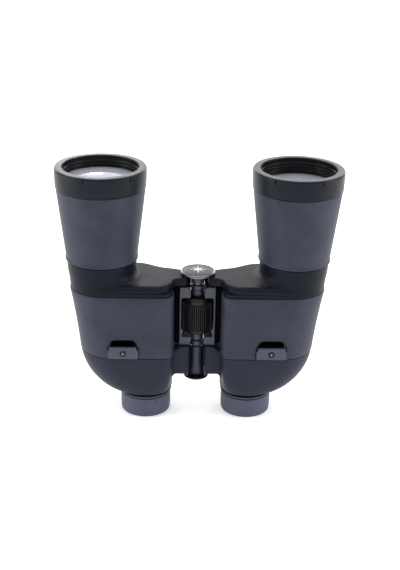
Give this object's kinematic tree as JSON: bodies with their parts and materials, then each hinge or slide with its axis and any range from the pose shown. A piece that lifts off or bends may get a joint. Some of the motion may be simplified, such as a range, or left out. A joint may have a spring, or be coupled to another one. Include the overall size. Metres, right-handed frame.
{
  "type": "binoculars",
  "caption": "Porro-prism binoculars with a centre focus wheel, tapered objective barrels, a folding hinge, soft eyecups and strap lugs.",
  "frame": {"origin": "on the hinge axis, in the plane of the eyecup rims that it stands on, which is the bottom centre of its box", "axes": "+Z along the optical axes from the eyecups to the objectives; +X from the left half to the right half, seen from the focus wheel side; +Y away from the focus wheel, to the side the halves fold to"},
  "size_m": [0.1948, 0.062, 0.1815],
  "materials": {
    "armour_rubber": "fine-grained soft-touch rubber armour, bluish charcoal",
    "dark_cover": "smooth dark cover with a soft sheen",
    "rear_rubber": "smooth rubber-coated rear cover",
    "black_ring": "black ring with a low gloss",
    "eyecup_rubber": "matt eyecup rubber",
    "grey_metal": "blue-grey painted metal",
    "cap_metal": "satin aluminium with a bright rim",
    "steel": "turned steel",
    "brass": "plain machined brass",
    "blackened_metal": "matt black anti-reflection finish",
    "wheel_rubber": "ribbed black rubber",
    "anodised_tube": "dark blue anodised tube",
    "coated_glass": "multi-coated optical glass",
    "prism_glass": "polished prism glass"
  },
  "bodies": {
    "left_half": {"left_objective_ring": "black_ring", "left_objective_retainer": "blackened_metal", "left_objective_crown": "coated_glass", "left_objective_flint": "coated_glass", "left_objective_tube": "blackened_metal", "left_barrel_armour": "armour_rubber", "left_front_cover": "dark_cover", "left_prism_housing": "grey_metal", "left_body_armour": "armour_rubber", "left_rear_cover": "rear_rubber", "left_lower_prism": "prism_glass", "left_upper_prism": "prism_glass", "left_prism_plate": "blackened_metal", "left_lower_prism_clip": "steel", "left_upper_prism_clip": "steel", "left_strap_lug": "grey_metal", "left_strap_screw": "steel", "hinge_axle": "steel", "centre_tube": "anodised_tube", "wheel_collar": "grey_metal", "hinge_bottom_cap": "blackened_metal"},
    "right_half": {"right_objective_ring": "black_ring", "right_objective_retainer": "blackened_metal", "right_objective_crown": "coated_glass", "right_objective_flint": "coated_glass", "right_objective_tube": "blackened_metal", "right_barrel_armour": "armour_rubber", "right_front_cover": "dark_cover", "right_prism_housing": "grey_metal", "right_body_armour": "armour_rubber", "right_rear_cover": "rear_rubber", "right_lower_prism": "prism_glass", "right_upper_prism": "prism_glass", "right_prism_plate": "blackened_metal", "right_lower_prism_clip": "steel", "right_upper_prism_clip": "steel", "right_strap_lug": "grey_metal", "right_strap_screw": "steel"},
    "focus_wheel": {"focus_wheel": "wheel_rubber", "focus_spindle": "steel"},
    "left_ocular": {"left_ocular_tube": "blackened_metal", "left_ocular_ring": "black_ring", "left_field_lens": "coated_glass", "left_field_stop": "blackened_metal", "left_focus_arm": "brass", "focus_nut": "brass"},
    "right_ocular": {"right_ocular_tube": "blackened_metal", "right_ocular_ring": "black_ring", "right_field_lens": "coated_glass", "right_field_stop": "blackened_metal", "right_focus_arm": "brass", "right_eye_cell": "blackened_metal", "right_eye_lens": "coated_glass", "right_eyecup": "eyecup_rubber"},
    "left_diopter": {"left_eyecup": "eyecup_rubber", "left_diopter_ring": "steel"},
    "left_eye_cell": {"left_eye_cell": "blackened_metal", "left_eye_lens": "coated_glass"},
    "hinge_cap": {"hinge_cap": "cap_metal"}
  },
  "joints": [
    {"name": "fold", "type": "hinge", "parent": "left_half", "child": "right_half", "pos_m": [0, 0, 0.07], "axis": [0, 0, 1], "range_deg": [0, 70]},
    {"name": "focus_turn", "type": "hinge", "parent": "left_half", "child": "focus_wheel", "pos_m": [0, 0, 0.075], "axis": [0, 0, 1], "range_deg": [-93, 303]},
    {"name": "left_focus_slide", "type": "slide", "parent": "left_half", "child": "left_ocular", "axis": [0, 0, -1], "range_m": [-0.0015, 0.005]},
    {"name": "right_focus_slide", "type": "slide", "parent": "right_half", "child": "right_ocular", "axis": [0, 0, -1], "range_m": [-0.00155, 0.00505]},
    {"name": "diopter_turn", "type": "hinge", "parent": "left_ocular", "child": "left_diopter", "pos_m": [-0.0362, 0, 0.01], "axis": [0, 0, 1], "range_deg": [-62, 62]},
    {"name": "diopter_slide", "type": "slide", "parent": "left_ocular", "child": "left_eye_cell", "axis": [0, 0, -1], "range_m": [-0.0012, 0.0012]},
    {"name": "cap_unscrew", "type": "slide", "parent": "left_half", "child": "hinge_cap", "axis": [0, 0, 1], "range_m": [0, 0.012]}
  ],
  "couplings": [
    {"joint": "focus_turn", "follows": "left_focus_slide", "rad_per_m": 1047.2},
    {"joint": "right_focus_slide", "follows": "left_focus_slide", "ratio": 1},
    {"joint": "diopter_turn", "follows": "diopter_slide", "rad_per_m": 872.66}
  ]
}
